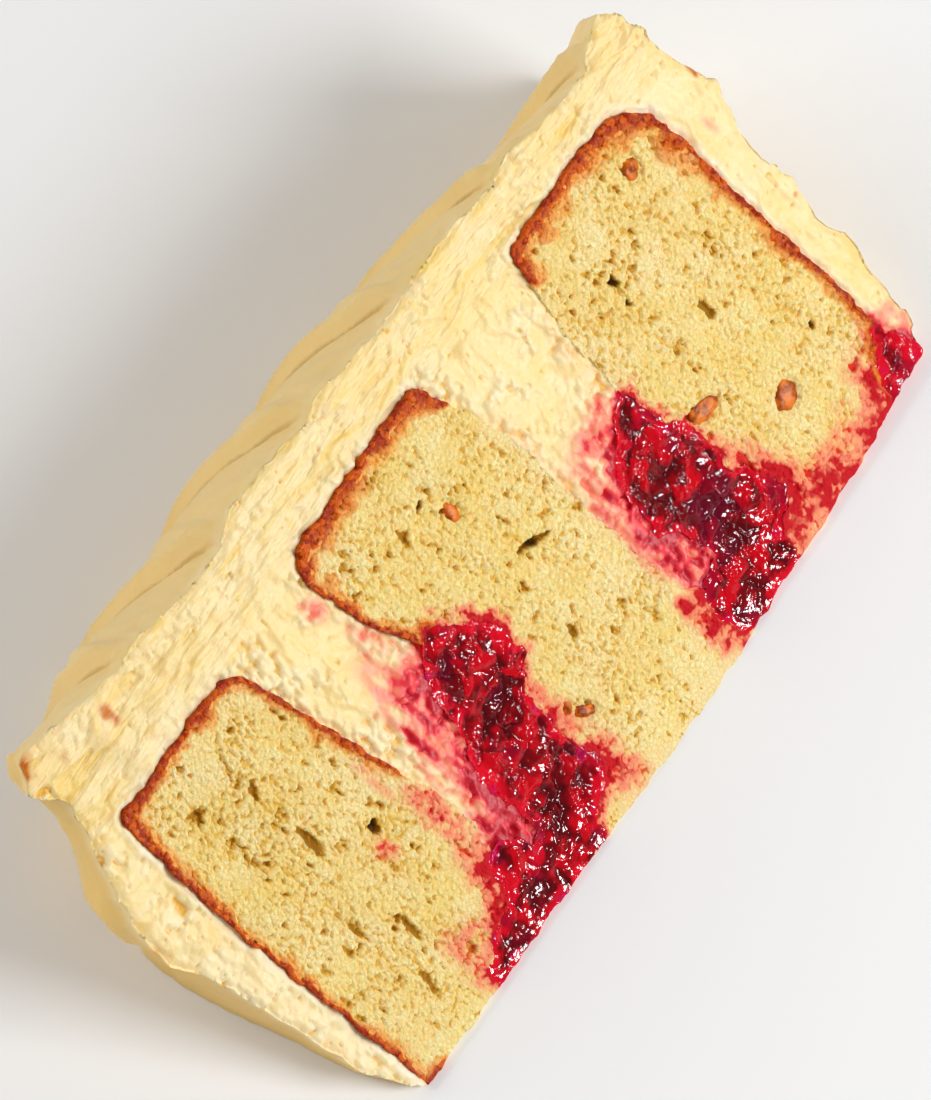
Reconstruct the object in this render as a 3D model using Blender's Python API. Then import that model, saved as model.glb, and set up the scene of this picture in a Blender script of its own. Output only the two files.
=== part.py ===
"""A slice of a tall three-layer pistachio cake with raspberry jam and buttercream.

The slice is a tenth of a round six-inch cake. It lies on one of its two cut faces, with the other one up.
-X is outwards to the buttercream coat, the tip is at +X, and +Y is up through the cake's layers.
Everything is turned about the line where the two cuts would meet. A point of the cake is given by rho, its
distance outwards from the tip, and by height, measured up from the underside of the lowest sponge.
"""

import math

import bmesh
import bpy
from mathutils import Vector

MM = 0.001

# Driving dimensions. Lengths are in millimetres, as are all the outlines below.
SLICE_ANGLE = math.radians(36)  # a tenth of the cake
TIP_SETBACK = 3.0  # the two cuts would meet this far beyond the tip
SPONGE_RADIUS = 76.2  # half of a six-inch tin
SPONGE_TOP = 148.0  # the upper side of the third sponge
GAP = 0.3  # left between pieces that touch

# The buttercream that goes round the outside, as it is on the upper cut face.
CREAM_UNDER = [(0, 0), (10, 4.5), (25, 6.5), (45, 9.5), (57, 14.6), (66, 8.8), (80, 4), (92, 4.4)]
CREAM_OVER = [(3.2, 1.4), (8, 3.8), (13, 5.3), (33, 7.1), (45, 7), (62, 9.8), (70, 10.6), (79, 8.2), (86, 6.8)]
COAT_OUT = [(-4, 92), (14, 90.6), (36, 87.2), (55, 88.6), (80, 87.6), (104, 86.2), (115, 86.4), (141, 84), (154, 87)]
TIP_LINE = [(0.5, 0), (40, -0.6), (82, -1.5), (112, 0), (130, 1.2), (147, 3.2)]
RIM_ROUND = 2.5  # how far the buttercream's outer corners are rounded

# What the spatula left on the coat: slanting steps up its side, and a swirl under its foot.
STEP_SPACING = 25.0
STEP_DEPTH = 2.0
STEP_SLOPE = 0.40  # how much a step falls for each millimetre round the cake
STEP_UNDERSIDE = 0.14  # the part of the spacing that a step's steep underside takes
COAT_LEAN = 1.0  # how much thinner the coat is away from the upper cut face
SIDE_LEAN = 5.2  # how much more so beside the top sponge
BROW_LEAN = 2.6  # and above it
FOOT_LEAN = 4.5  # and round its foot
SWIRL_HEIGHT = 5.0
SWIRL_DRIFT = 0.28  # how much the swirl's crest moves outwards for each millimetre round the cake
FOOT_RISE = 5.0  # how much higher the foot is at the lower cut face
HEEL_RISE = 6.5  # and how much more so at its outer edge
TOP_RIPPLE = 0.8

# Each sponge: its underside and its upper side from the tip outwards, its radius and its two corner radii.
SPONGES = {
    "sponge_bottom": {
        "under": [(-2.4, 0.6), (20, 0), (40, -0.5), (60, 0.1), (71, 1)],
        "over": [(-2.4, 38), (14, 37), (24, 38.2), (40, 36.2), (58, 33.6), (68, 32.2)],
        "radius": SPONGE_RADIUS - 2.6,
        "corners": (1.6, 5.0),
    },
    "sponge_middle": {
        "under": [(-2.4, 48), (20, 51), (36, 54), (46, 55.5), (56, 52.4), (70, 50.4)],
        "over": [(-2.4, 96), (8, 96), (14, 91.6), (35, 91), (60, 90.6), (68, 88.4), (73, 87.2)],
        "radius": SPONGE_RADIUS,
        "corners": (5.5, 2.6),
    },
    "sponge_top": {
        "under": [(-2.4, 107), (20, 107), (36, 107.6), (46, 109.2), (58, 110.4), (68, 112.6), (74, 113.4)],
        "over": [(-2.4, SPONGE_TOP), (30, SPONGE_TOP), (66, SPONGE_TOP)],
        "radius": SPONGE_RADIUS,
        "corners": (1.8, 9.5),
    },
}

# Each jam filling, round its outline from its foot to its top at the tip.
JAMS = {
    "jam_lower": [
        (-2.4, 21), (2.2, 21), (5.2, 25), (6, 31), (9, 34), (13.5, 35.4), (14.6, 38.4), (11.5, 41),
        (8, 41.4), (13, 45), (24, 45.4), (32, 47.8), (42, 51.6), (46.4, 54), (49.4, 57.4), (44, 62),
        (36, 65.6), (31, 66), (27, 61.6), (16, 59.6), (8, 60), (4.6, 57), (1.6, 51.6), (-2.4, 50),
    ],
    "jam_upper": [
        (-2.4, 94), (5, 92.4), (9.6, 93.4), (12, 98), (18, 99.6), (24, 96.4), (34, 97), (39, 102.4),
        (44, 106), (43, 109), (37, 109.2), (31, 112.6), (19, 113.4), (12, 116.6), (7.4, 115), (4, 110.8),
        (-2.4, 110),
    ],
    "jam_top": [(-2.4, 140), (4.4, 141), (9.4, 144.4), (13, 148.5), (-2.4, 148.5)],
}  # fmt: skip

BAND_STEPS = 7  # how many steps the sponges and jams are turned in
FORM_STEPS = 12  # and the buttercream, whose ridges need more
OVERSHOOT = math.radians(3)  # how far the bands run past each cut face before they are trimmed
OUTLINE_SPACING = 3.4


def smooth_step(x, low, high):
    t = min(1.0, max(0.0, (x - low) / (high - low)))
    return t * t * (3 - 2 * t)


def bell(x, centre, width):
    return math.exp(-(((x - centre) / width) ** 2))


def curve_through(points, spacing=OUTLINE_SPACING):
    """Points about that far apart along a Catmull-Rom curve through the given ones."""
    found, last = [], len(points) - 1
    for i in range(last):
        a, b, c, d = (Vector(points[min(max(j, 0), last)]) for j in (i - 1, i, i + 1, i + 2))
        steps = max(1, round((c - b).length / spacing))
        for k in range(steps):
            t = k / steps
            bend = (2 * a - 5 * b + 4 * c - d) * t**2 + (3 * b - a - 3 * c + d) * t**3
            found.append(0.5 * (2 * b + (c - a) * t + bend))
    return [*found, Vector(points[-1])]


def arc(centre, radius, start, end, steps=4):
    """Points on an arc of that many steps, with its angles in degrees."""
    angles = [math.radians(start + (end - start) * k / steps) for k in range(steps + 1)]
    return [Vector((centre[0] + radius * math.cos(a), centre[1] + radius * math.sin(a))) for a in angles]


def sponge_outline(under, over, radius, corners):
    """A baked layer's section: two faces out to the crust, with a round corner at each end of the crust."""
    low, high = corners
    foot, brow = under[-1][1], over[-1][1]
    crust = arc((radius - low, foot + low), low, -90, 0) + arc((radius - high, brow - high), high, 0, 90)
    lower = curve_through([*under[:-1], (radius - low - 1.5, foot)])
    upper = curve_through([*over[:-1], (radius - high - 1.5, brow)])
    return lower + crust + upper[::-1]


def form_outline():
    """The whole slice's section, from the tip along the foot, up the coat, over the top and down the tip."""
    foot = [(rho, -depth) for rho, depth in CREAM_UNDER]
    top = [(rho, SPONGE_TOP + depth) for rho, depth in CREAM_OVER]
    side = [(rho, height) for height, rho in COAT_OUT]
    tip = [(rho, height) for height, rho in TIP_LINE]
    foot_run = curve_through([*foot[:-1], (foot[-1][0] - RIM_ROUND, foot[-1][1])])
    side_run = curve_through([(side[0][0], side[0][1] + RIM_ROUND), *side[1:]])
    return foot_run + side_run + curve_through(top[::-1]) + curve_through(tip[::-1])[1:-1]


def grown(outline, by):
    """The outline moved outwards by that much. It runs counter-clockwise."""
    count = len(outline)
    moved = []
    for i, point in enumerate(outline):
        along = outline[(i + 1) % count] - outline[i - 1]
        moved.append(point + Vector((along.y, -along.x)).normalized() * by)
    return moved


def place(rho, height, turn):
    """A point of the cake, turned up from the floor by that angle, in metres."""
    radius = rho + TIP_SETBACK
    return Vector((-radius * math.cos(turn), height, radius * math.sin(turn))) * MM


def turned(name, outline, start, end, steps):
    """The outline turned about the cake's line from one angle to the other, as a closed mesh object."""
    work = bmesh.new()
    face = work.faces.new([work.verts.new(place(p.x, p.y, start)) for p in outline])
    bmesh.ops.spin(work, geom=[face], cent=(0, 0, 0), axis=(0, 1, 0), angle=end - start, steps=steps)
    bmesh.ops.recalc_face_normals(work, faces=work.faces[:])
    mesh = bpy.data.meshes.new(name)
    work.to_mesh(mesh)
    work.free()
    return bpy.data.objects.new(name, mesh)


def step_relief(height, arc_length):
    """How far a slanting step stands out at a height, that far round from the upper cut face."""
    climb = (height + STEP_SLOPE * arc_length) / STEP_SPACING
    part = climb - math.floor(climb)
    falling = 1 - STEP_UNDERSIDE
    step = 1 - part / falling if part < falling else (part - falling) / STEP_UNDERSIDE
    return STEP_DEPTH * (step - 0.5)


def lean(height, arc_length):
    """How far the coat leans in, most of all at the cake's top and foot."""
    inwards = COAT_LEAN + FOOT_LEAN * smooth_step(-height, -26, -4)
    inwards += SIDE_LEAN * smooth_step(height, 96, 128) + BROW_LEAN * smooth_step(height, 142, 154)
    return inwards * smooth_step(arc_length, 0, 40)


def swirl_relief(rho, arc_length, share):
    """How the foot's swirl differs from where it is on the upper cut face."""
    crest = 57 + SWIRL_DRIFT * arc_length
    moved = SWIRL_HEIGHT * (1 - 0.7 * share) * bell(rho, crest, 6.5) + 1.2 * share * bell(rho, crest - 24, 9)
    return smooth_step(share, 0, 0.15) * (SWIRL_HEIGHT * bell(rho, 57, 6.5) - moved)


def heel_relief(rho, height, share):
    """How much higher the foot is towards the lower cut face."""
    rise = FOOT_RISE * smooth_step(rho, 28, 70) + HEEL_RISE * smooth_step(rho, 72, 98)
    return rise * smooth_step(share, 0, 1) * smooth_step(-height, -34, 5)


def top_relief(rho, arc_length):
    return TOP_RIPPLE * math.sin(rho * 0.33 + arc_length * 0.21) * smooth_step(rho, 10, 30)


def spatula_marks(mesh):
    """Moves the turned form's outer points as the spatula left them."""
    for vertex in mesh.vertices:
        x, height, z = vertex.co / MM
        radius, turn = math.hypot(x, z), math.atan2(z, -x)
        rho, arc_length = radius - TIP_SETBACK, radius * (SLICE_ANGLE - turn)
        share = 1 - turn / SLICE_ANGLE
        outwards = smooth_step(rho, 79, 84) * step_relief(height, arc_length)
        outwards -= smooth_step(rho, 50, 84) * lean(height, arc_length)
        up, down = smooth_step(height, SPONGE_TOP, SPONGE_TOP + 4), smooth_step(-height, 1, 4)
        lift = up * top_relief(rho, arc_length) + down * swirl_relief(rho, arc_length, share)
        lift += heel_relief(rho, height, share)
        vertex.co = place(rho + outwards, height + lift, turn)


def material(name, colour, roughness):
    made = bpy.data.materials.new(name)
    made.use_nodes = True
    shader = made.node_tree.nodes["Principled BSDF"]
    shader.inputs["Base Color"].default_value = (*colour, 1)
    shader.inputs["Roughness"].default_value = roughness
    shader.inputs["Metallic"].default_value = 0
    return made


def combine(obj, operation, other):
    """Adds a Boolean with one object, or with all the objects of a collection."""
    modifier = obj.modifiers.new(operation.title(), "BOOLEAN")
    modifier.operation = operation
    if isinstance(other, bpy.types.Collection):
        modifier.operand_type = "COLLECTION"
        modifier.collection = other
    else:
        modifier.object = other


def helper(obj, collection):
    obj.hide_render = True
    obj.display_type = "WIRE"
    collection.objects.link(obj)
    return obj


def band(name, outline):
    return turned(name, outline, -OVERSHOOT, SLICE_ANGLE + OVERSHOOT, BAND_STEPS)


def clear_scene():
    for obj in list(bpy.data.objects):
        bpy.data.objects.remove(obj)


def collection(name):
    made = bpy.data.collections.new(name)
    bpy.context.scene.collection.children.link(made)
    return made


def whole_form(name):
    """The slice as one solid, with the spatula's marks."""
    form = turned(name, form_outline(), 0, SLICE_ANGLE, FORM_STEPS)
    spatula_marks(form.data)
    return form


def centre_on_base(objects, form):
    """Moves everything so that the origin is at the middle of the base."""
    corners = [vertex.co for vertex in form.data.vertices]
    middle = [(min(c[i] for c in corners) + max(c[i] for c in corners)) / 2 for i in (0, 1)]
    for obj in objects:
        obj.location = (-middle[0], -middle[1], 0)


def build():
    clear_scene()
    cake, helpers = collection("pistachio_cake_slice"), collection("helpers")
    sponge_pockets, jam_pockets = collection("sponge_pockets"), collection("jam_pockets")
    crumb = material("sponge", (0.86, 0.68, 0.30), 0.9)
    jam = material("jam", (0.42, 0.004, 0.015), 0.2)
    cream = material("buttercream", (0.97, 0.82, 0.42), 0.55)

    form = helper(whole_form("form"), helpers)
    objects = [form]
    for name, points in JAMS.items():
        outline = curve_through(points)
        filling = band(name, outline)
        filling.data.materials.append(jam)
        combine(filling, "INTERSECT", form)
        cake.objects.link(filling)
        pocket = helper(band(f"{name}_pocket", grown(outline, GAP)), jam_pockets)
        objects += [filling, pocket]
    for name, sizes in SPONGES.items():
        outline = sponge_outline(**sizes)
        layer = band(name, outline)
        layer.data.materials.append(crumb)
        combine(layer, "INTERSECT", form)
        combine(layer, "DIFFERENCE", jam_pockets)
        cake.objects.link(layer)
        pocket = helper(band(f"{name}_pocket", grown(outline, GAP)), sponge_pockets)
        objects += [layer, pocket]
    coat = whole_form("buttercream")
    coat.data.materials.append(cream)
    combine(coat, "DIFFERENCE", sponge_pockets)
    combine(coat, "DIFFERENCE", jam_pockets)
    cake.objects.link(coat)
    centre_on_base([*objects, coat], form)
    for obj in cake.objects:
        obj.data.set_sharp_from_angle(angle=math.radians(40))


build()
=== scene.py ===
"""The looks of a slice of pistachio layer cake, which lies on one of its cut faces.

Everything is worked out in millimetres on the upper cut face. Rho runs outwards from the slice's tip, and
height runs up through the cake's layers from the underside of the lowest sponge. Each food's part of that
face is read from the frame, given its relief and turned about the line where the two cuts would meet.
"""

import math

import bmesh
import bpy
import numpy as np
from mathutils import Matrix, Vector
from mathutils.geometry import delaunay_2d_cdt


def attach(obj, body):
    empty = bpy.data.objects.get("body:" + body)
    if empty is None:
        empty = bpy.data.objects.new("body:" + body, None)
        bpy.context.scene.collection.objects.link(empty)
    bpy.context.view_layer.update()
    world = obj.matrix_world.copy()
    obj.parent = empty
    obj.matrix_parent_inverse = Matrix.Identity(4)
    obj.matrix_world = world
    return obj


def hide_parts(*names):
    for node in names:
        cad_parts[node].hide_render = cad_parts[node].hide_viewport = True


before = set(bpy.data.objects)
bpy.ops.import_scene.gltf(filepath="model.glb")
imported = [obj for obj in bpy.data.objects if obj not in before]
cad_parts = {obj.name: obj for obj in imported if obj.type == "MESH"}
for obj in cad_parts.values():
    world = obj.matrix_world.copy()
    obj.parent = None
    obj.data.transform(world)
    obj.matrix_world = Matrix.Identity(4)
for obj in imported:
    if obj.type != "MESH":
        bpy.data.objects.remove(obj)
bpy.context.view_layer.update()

MM = 0.001
SLICE_ANGLE = math.radians(36)
TIP_SETBACK = 3.0  # the two cuts would meet this far beyond the tip
SPONGE_TOP = 148.0  # the height of the third sponge's upper side

SPONGES = ("sponge_bottom", "sponge_middle", "sponge_top")
JAMS = ("jam_lower", "jam_upper", "jam_top")
CREAM = "buttercream"
FOODS = (*SPONGES, *JAMS, CREAM)

# The maps over the cut face: where they start, how far they run and how finely.
MAP_START = (-6.0, -20.0)
MAP_END = (100.0, 164.0)
FINE, COARSE = 0.125, 0.5
GAP_CLOSED = 0.16  # half of the frame's gap between two foods, and a little more
OVERLAP = 0.05  # how far each food then runs in under its neighbours

# How far apart the points on the cut face are.
SPONGE_SPACING, JAM_SPACING, CREAM_SPACING = 0.2, 0.2, 0.37
COLUMN = 3  # border points to each column of the sides
RING_SPACING = 1.0  # between the rings of the coat's sides
UNDERSIDE_SPACING = 2.2
FIRST_RING = 0.012  # the first ring's share of the way round, so that the cut's edge stays crisp
LONGEST_WAY = SLICE_ANGLE * 92  # round the coat, from one cut face to the other
SHORTEST_LOOP = 12  # points; smaller holes in a food's border are left out

# The coat's marks, as in the frame's own solid.
STEP_SPACING, STEP_DEPTH, STEP_SLOPE, STEP_UNDERSIDE = 25.0, 2.0, 0.40, 0.14
COAT_LEAN, SIDE_LEAN, BROW_LEAN = 1.0, 5.2, 2.6
FOOT_LEAN = 6.5  # a little more than the frame's, because the foot's corner here has a lump
SWIRL_HEIGHT, SWIRL_DRIFT, TOP_RIPPLE = 5.0, 0.28, 0.8
FOOT_RISE, HEEL_RISE = 5.0, 6.5

# The foot's torn edge on the cut face: how far the lump at its corner stands out, and the edge's rho and
# height. Where the frame's outline is lower than the edge, the cream slants out to it.
CORNER_LUMP = 1.0
FOOT_EDGE = [
    (36, -18.0), (47, -12.6), (57, -11.6), (63, -9.6), (71, -6.8), (77.5, -3.6), (82, -2.0), (91, -6.5),
    (96, -12.0),
]  # fmt: skip


# ---------------------------------------------------------------- numbers and noise


def smooth_step(x, low, high):
    t = np.clip((x - low) / (high - low), 0, 1)
    return t * t * (3 - 2 * t)


def bell(x, centre, width):
    return np.exp(-(((x - centre) / width) ** 2))


TABLE = 128  # units after which the noise and the cells repeat


def noise(x, y, seed):
    """Smooth noise from -1 to 1 that changes over about one unit."""
    table = np.random.default_rng(seed).uniform(-1, 1, (TABLE, TABLE)).astype(np.float32)
    i, j = np.floor(x).astype(int), np.floor(y).astype(int)
    u, v = smooth_step(x - i, 0, 1), smooth_step(y - j, 0, 1)
    left, right, low, high = i % TABLE, (i + 1) % TABLE, j % TABLE, (j + 1) % TABLE
    near = table[left, low] * (1 - u) + table[right, low] * u
    far = table[left, high] * (1 - u) + table[right, high] * u
    return near * (1 - v) + far * v


def fractal(x, y, seed, octaves=3):
    """Noise of several sizes, each half as large and half as strong as the last."""
    total, strength = 0, 1.0
    for octave in range(octaves):
        total = total + strength * noise(x + 17.3 * octave, y - 9.1 * octave, seed + octave)
        x, y = 1.6 * x - 1.2 * y, 1.2 * x + 1.6 * y
        strength *= 0.5
    return total


def cells(x, y, seed):
    """Distances to the nearest and the second nearest of points scattered one to a unit square, and a
    number from 0 to 1 that the nearest drew as its lot."""
    rng = np.random.default_rng(seed)
    jitter = rng.uniform(0.1, 0.9, (TABLE, TABLE, 2)).astype(np.float32)
    lots = rng.uniform(0, 1, (TABLE, TABLE)).astype(np.float32)
    i, j = np.floor(x).astype(int), np.floor(y).astype(int)
    first, second = np.full(np.shape(x), 9.0, np.float32), np.full(np.shape(x), 9.0, np.float32)
    lot = np.zeros(np.shape(x), np.float32)
    for a in (-1, 0, 1):
        for b in (-1, 0, 1):
            spot = jitter[(i + a) % TABLE, (j + b) % TABLE]
            away = np.hypot(i + a + spot[..., 0] - x, j + b + spot[..., 1] - y)
            lot = np.where(away < first, lots[(i + a) % TABLE, (j + b) % TABLE], lot)
            second = np.minimum(second, np.maximum(first, away))
            first = np.minimum(first, away)
    return first, second, lot


def dome(nearest, reach):
    """Rounded lumps: 1 on a lump's top and 0 where the nearest lump is out of reach."""
    return np.sqrt(np.clip(1 - (nearest / reach) ** 2, 0, 1))


# ---------------------------------------------------------------- the slice's own coordinates


def add_object(name, data):
    obj = bpy.data.objects.new(name, data)
    bpy.context.scene.collection.objects.link(obj)
    return obj


def frame_points(node):
    """The node's points in the frame, in millimetres."""
    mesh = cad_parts[node].data
    flat = np.empty(len(mesh.vertices) * 3)
    mesh.vertices.foreach_get("co", flat)
    return flat.reshape(-1, 3) / MM


def cake_line():
    """Where the line that everything is turned about crosses the row frame, and where height starts."""
    points = np.vstack([frame_points(node) for node in FOODS])
    across = (points[:, 0] + points[:, 2] / math.tan(SLICE_ANGLE)).max()
    return across, frame_points("sponge_top")[:, 1].max() - SPONGE_TOP


LINE_X, START_Y = cake_line()


def place(rho, height, turn):
    """Row-frame points, in millimetres, turned up from the floor by that angle."""
    radius = np.asarray(rho) + TIP_SETBACK
    height = height + START_Y + 0 * radius
    return np.stack([LINE_X - radius * np.cos(turn), height, radius * np.sin(turn)], -1)


CUT_NORMAL = np.array([math.sin(SLICE_ANGLE), 0, math.cos(SLICE_ANGLE)])
ON_FACE = 0.01  # how far off the upper cut face a point of the frame may be to count as on it


# ---------------------------------------------------------------- maps over the cut face


def axis_points(k, step):
    return np.arange(MAP_START[k], MAP_END[k], step, dtype=np.float32)


RHO, HEIGHT = np.meshgrid(axis_points(0, FINE), axis_points(1, FINE), indexing="ij")


def read(field, rho, height, step=FINE):
    """A map's values at any points, by straight lines between its own."""
    a = np.clip((rho - MAP_START[0]) / step, 0, field.shape[0] - 1.001)
    b = np.clip((height - MAP_START[1]) / step, 0, field.shape[1] - 1.001)
    i, j = a.astype(int), b.astype(int)
    u, v = a - i, b - j
    low = field[i, j] * (1 - u) + field[i + 1, j] * u
    high = field[i, j + 1] * (1 - u) + field[i + 1, j + 1] * u
    return low * (1 - v) + high * v


def rises(field, rho, height, step):
    """How much a map rises from a step before each point to a step beyond it, along rho and along height."""
    along_rho = read(field, rho + step, height, step) - read(field, rho - step, height, step)
    return along_rho, read(field, rho, height + step, step) - read(field, rho, height - step, step)


def cut_outline(node):
    """The edges round a node's upper cut face, each as (rho, height, rho, height)."""
    points = frame_points(node)
    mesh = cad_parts[node].data
    mesh.calc_loop_triangles()
    corners = np.empty(len(mesh.loop_triangles) * 3, int)
    mesh.loop_triangles.foreach_get("vertices", corners)
    from_line = np.stack([LINE_X - points[:, 0], points[:, 2]], 1)
    off_face = from_line[:, 1] * math.cos(SLICE_ANGLE) - from_line[:, 0] * math.sin(SLICE_ANGLE)
    flat = np.stack([np.hypot(*from_line.T) - TIP_SETBACK, points[:, 1] - START_Y], 1)
    triangles = corners.reshape(-1, 3)
    triangles = triangles[(np.abs(off_face[triangles]) < ON_FACE).all(1)]
    merged, same = np.unique(np.round(flat, 3), axis=0, return_inverse=True)
    triangles = same.reshape(-1)[triangles]
    starts, ends = border_edges(triangles, len(merged))
    return np.hstack([merged[starts], merged[ends]])


def border_edges(triangles, count):
    """The directed edges that only one triangle has."""
    starts = triangles.ravel()
    ends = np.roll(triangles, -1, axis=1).ravel()
    single = ~np.isin(starts * count + ends, ends * count + starts)
    return starts[single], ends[single]


def outline_distance(rho, height, edges):
    """Distance to an outline, negative inside it."""
    nearest = np.full(rho.shape, 1e6)
    inside = np.zeros(rho.shape, bool)
    for x0, y0, x1, y1 in edges:
        dx, dy = x1 - x0, y1 - y0
        t = np.clip(((rho - x0) * dx + (height - y0) * dy) / max(dx * dx + dy * dy, 1e-9), 0, 1)
        nearest = np.minimum(nearest, (rho - x0 - t * dx) ** 2 + (height - y0 - t * dy) ** 2)
        if dy:
            inside ^= ((y0 > height) != (y1 > height)) & (rho < x0 + (height - y0) * dx / dy)
    return np.where(inside, -1, 1) * np.sqrt(nearest)


def coat_lumps():
    """How far the coat's torn edges stand out past the frame's smooth outline."""
    top, side = smooth_step(HEIGHT, 144, 152), smooth_step(RHO, 78, 83)
    curls = np.maximum(fractal(RHO / 4.5, HEIGHT / 4.5, 13, 3), 0) * 1.1 - 0.1
    folds = 0.55 * fractal(RHO / 3.5, HEIGHT / 5, 16, 3)
    corner = CORNER_LUMP * bell(RHO, 93, 7) * bell(HEIGHT, -3, 9)
    return np.maximum(top * curls, side * folds) + corner


# Where the sponges were cut across or torn, and so have no crust towards the cream.
BARE = np.maximum(
    smooth_step(HEIGHT, 82, 90) * smooth_step(-HEIGHT, -118, -112) * smooth_step(-RHO, -66, -58),
    smooth_step(HEIGHT, 20, 26) * smooth_step(-HEIGHT, -134, -128) * smooth_step(-RHO, -38, -26),
)


def food_regions():
    """For each food, a map that is negative where it shows on the cut face, and its distance from the
    frame's outline. Then two maps of the whole slice: as it shows, and coarsely, as the frame has it."""
    rho, height = np.meshgrid(axis_points(0, COARSE), axis_points(1, COARSE), indexing="ij")
    wobble = [0.34 * fractal(RHO / 2.6, HEIGHT / 2.6, seed, 3) for seed in (11, 12)]
    tip = (0.5 + 0.5 * smooth_step(HEIGHT, 100, 120)) * smooth_step(-RHO, -6, -0.5)
    away, smooth = {}, np.full(rho.shape, 1e6)
    for food in FOODS:
        coarse = outline_distance(rho, height, cut_outline(food))
        smooth = np.minimum(smooth, coarse)
        away[food] = read(coarse, RHO + wobble[0], HEIGHT + wobble[1], COARSE).astype(np.float32) - tip
    away[CREAM] = away[CREAM] - coat_lumps()
    whole = np.minimum.reduce([away[food] for food in FOODS]) - GAP_CLOSED
    edge = np.interp(RHO, *zip(*FOOT_EDGE)) + 0.5 * fractal(RHO / 3.5, HEIGHT / 3.5, 17, 3)
    whole = np.maximum(whole, edge - HEIGHT)
    torn = 1.9 * fractal(RHO / 3.4, HEIGHT / 3.4, 18, 4)
    for jam in JAMS:
        away[jam] = away[jam] + torn
    crumbly = 1.0 * fractal(RHO / 2.3, HEIGHT / 2.3, 19, 4) * BARE
    for sponge in SPONGES:
        away[sponge] = away[sponge] + crumbly
    regions = {}
    for food in FOODS:
        others = np.minimum.reduce([away[other] for other in FOODS if other != food])
        regions[food] = np.maximum((away[food] - others) / 2 - OVERLAP, whole)
    return regions, away, whole, smooth


REGION, AWAY, WHOLE, SMOOTH = food_regions()
JAM_AWAY = np.minimum.reduce([AWAY[jam] for jam in JAMS])
SPONGE_AWAY = np.minimum.reduce([AWAY[sponge] for sponge in SPONGES])
# How much relief there is room for: little at the slice's thin tip, beside the jam, and where bare crumb and
# cream run into each other.
ROOM = smooth_step(RHO, -2, 12) * 0.85 + 0.15
BY_JAM = 0.25 + 0.75 * smooth_step(JAM_AWAY, 0, 0.9)
LEVEL = 1 - 0.8 * BARE * bell(SPONGE_AWAY, 0, 0.9)
# How far the rims of holes wander, along rho and along height.
RAGGED = [fractal(RHO / 1.5, HEIGHT / 1.5, seed, 3) for seed in (23, 26)]


def ellipse(rho, height, along, across, lean=0, ragged=0.0):
    """A map that is 1 at an ellipse's middle and 0 at its edge and outside. Lean is in degrees, from rho
    towards height."""
    c, s = math.cos(math.radians(lean)), math.sin(math.radians(lean))
    x, y = RHO - rho + ragged * RAGGED[0], HEIGHT - height + ragged * RAGGED[1]
    u, v = (x * c + y * s) / (along / 2), (y * c - x * s) / (across / 2)
    return np.clip(1 - u * u - v * v, 0, 1)


def patches(spots):
    """A map of soft patches, each (rho, height, width, height of the patch, strength)."""
    total = np.zeros_like(RHO)
    for rho, height, wide, high, strength in spots:
        from_middle = ((RHO - rho) / wide) ** 2 + ((HEIGHT - height) / high) ** 2
        total = np.maximum(total, strength * np.exp(-from_middle))
    return total


# ---------------------------------------------------------------- crumb


# Lens-shaped holes that the knife opened in the crumb: rho, height, length, width, lean in degrees and depth.
LENS_HOLES = [
    (43.6, 18.6, 8.0, 1.3, 8, 1.4), (19.1, 18.4, 6.8, 1.2, 6, 1.1), (10.4, 13.5, 7.5, 1.1, 6, 0.9),
    (26.6, 12.4, 5.4, 1.0, 0, 1.0), (57, 18.7, 3.2, 1.3, 41, 1.3), (26, 74, 2.4, 1.8, 30, 1.2),
    (38, 74, 2.6, 1.2, 0, 1.0), (22.5, 140, 1.8, 1.2, 0, 1.4), (40.2, 129.6, 4.6, 1.3, 9, 1.4),
    (57, 122.5, 1.9, 1.6, 0, 2.0), (53, 121.7, 1.5, 1.0, 0, 1.8), (41.6, 80.5, 6.8, 1.3, -67, 2.3),
    (62.2, 72.1, 1.6, 1.0, 30, 1.6), (17.5, 115, 4.6, 1.5, 10, 1.2), (35.2, 27.2, 2.4, 1.8, 20, 2.2),
    (61, 66.5, 4.6, 1.1, 5, 1.0), (63, 9.5, 3.6, 1.0, -50, 1.0),
]  # fmt: skip
# The deepest of them, which are painted with shade inside: rho and height.
SHADED_HOLES = [(41.6, 80.5), (35.2, 27.2), (53, 121.7), (57, 122.5), (22.5, 140), (62.2, 72.1)]
NUT_DEPTH = 0.9  # from a nut's middle to its top
# Pieces of nut in the crumb: rho, height, length, width, lean in degrees and how far their tops stand out.
NUTS = [
    (18.6, 128.3, 5.6, 4.4, 60, 0.3), (29.8, 116.8, 6.4, 3.4, 105, 0.4), (57.0, 75.2, 4.4, 2.5, 10, 0.0),
    (66.6, 138.8, 3.8, 3.2, 30, 0.0), (15.4, 65.2, 4.4, 2.2, 140, 0.2), (18.4, 63.6, 3.0, 1.6, 20, 0.0),
]  # fmt: skip


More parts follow.
